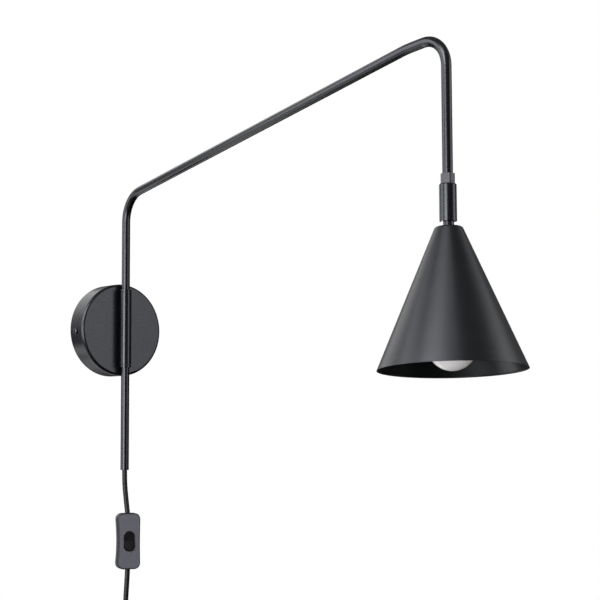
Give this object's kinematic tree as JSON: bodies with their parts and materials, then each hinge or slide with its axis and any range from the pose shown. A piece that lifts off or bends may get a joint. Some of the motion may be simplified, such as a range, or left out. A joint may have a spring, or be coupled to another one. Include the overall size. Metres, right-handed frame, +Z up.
{
  "type": "swing arm wall sconce",
  "caption": "Plug-in wall light: a bent tube arm swings in a sleeve on a round canopy and carries a conical shade on a swivel and tilt joint, with an inline rocker switch.",
  "frame": {"origin": "centre of the wall bracket's back face, on the wall plane", "axes": "+Z up, -Y straight out of the wall along the arm at rest, +X to the right seen from the room"},
  "size_m": [0.1393, 0.6645, 0.7893],
  "materials": {
    "black_coat": "satin fine-texture black powder coat",
    "zinc_steel": "bright zinc plate",
    "black_zinc": "black zinc plate",
    "nylon": "plain black nylon",
    "switch_plastic": "fine-grained charcoal plastic",
    "rocker_plastic": "polished black plastic",
    "brass": "plain brass",
    "flex_pvc": "soft satin black PVC sheath",
    "holder_plastic": "black phenolic",
    "opal_glass": "smooth opal white glass",
    "bulb_cap_metal": "rolled aluminium",
    "plug_plastic": "moulded black PVC",
    "pin_metal": "nickel plate"
  },
  "bodies": {
    "wall_fixing": {"wall_bracket": "zinc_steel", "canopy_cup": "black_coat", "canopy_side_screws": "black_zinc", "sleeve_spacers": "black_coat", "sleeve_screws": "zinc_steel", "hinge_sleeve": "black_coat", "sleeve_bush_upper": "nylon", "sleeve_bush_lower": "nylon", "switch_housing_front": "switch_plastic", "switch_housing_back": "switch_plastic", "switch_screws": "zinc_steel", "switch_contacts": "brass", "switch_cord_clamps": "nylon", "flex_upper": "flex_pvc", "flex_lower": "flex_pvc", "flex_tail": "flex_pvc", "flex_coil": "flex_pvc", "coil_tie": "nylon", "plug_strain_relief": "plug_plastic", "plug_body": "plug_plastic", "plug_pins": "pin_metal"},
    "arm": {"arm_tube": "black_coat", "collar_upper": "black_coat", "collar_lower": "black_coat", "collar_grub_screws": "zinc_steel", "tube_end_bush": "nylon", "flex_in_arm": "flex_pvc", "hex_lock_nut": "black_coat", "swivel_stem": "zinc_steel"},
    "swivel": {"joint_cover": "black_coat", "swivel_washer": "zinc_steel", "knuckle_fork": "zinc_steel", "pivot_pins": "zinc_steel"},
    "head": {"knuckle_tongue": "black_coat", "shade": "black_coat", "shade_nut": "zinc_steel", "lampholder_cap": "holder_plastic", "lampholder_body": "holder_plastic", "lampholder_shell": "brass", "bulb_base": "bulb_cap_metal", "bulb_globe": "opal_glass"},
    "rocker": {"switch_rocker": "rocker_plastic"}
  },
  "joints": [
    {"name": "arm_swing", "type": "hinge", "parent": "wall_fixing", "child": "arm", "pos_m": [0, -0.035, 0], "axis": [0, 0, 1], "range_deg": [-82, 82]},
    {"name": "head_turn", "type": "hinge", "parent": "arm", "child": "swivel", "pos_m": [0, -0.585, 0.096], "axis": [0, 0, 1], "range_deg": [-165, 165]},
    {"name": "head_tilt", "type": "hinge", "parent": "swivel", "child": "head", "pos_m": [0, -0.585, 0.084], "axis": [0.8348, -0.5505, 0], "range_deg": [-2.5, 92]},
    {"name": "rocker_tip", "type": "hinge", "parent": "wall_fixing", "child": "rocker", "pos_m": [0.00141, -0.0429, -0.2524], "axis": [0.9455, -0.3256, 0], "range_deg": [0, 14]}
  ]
}
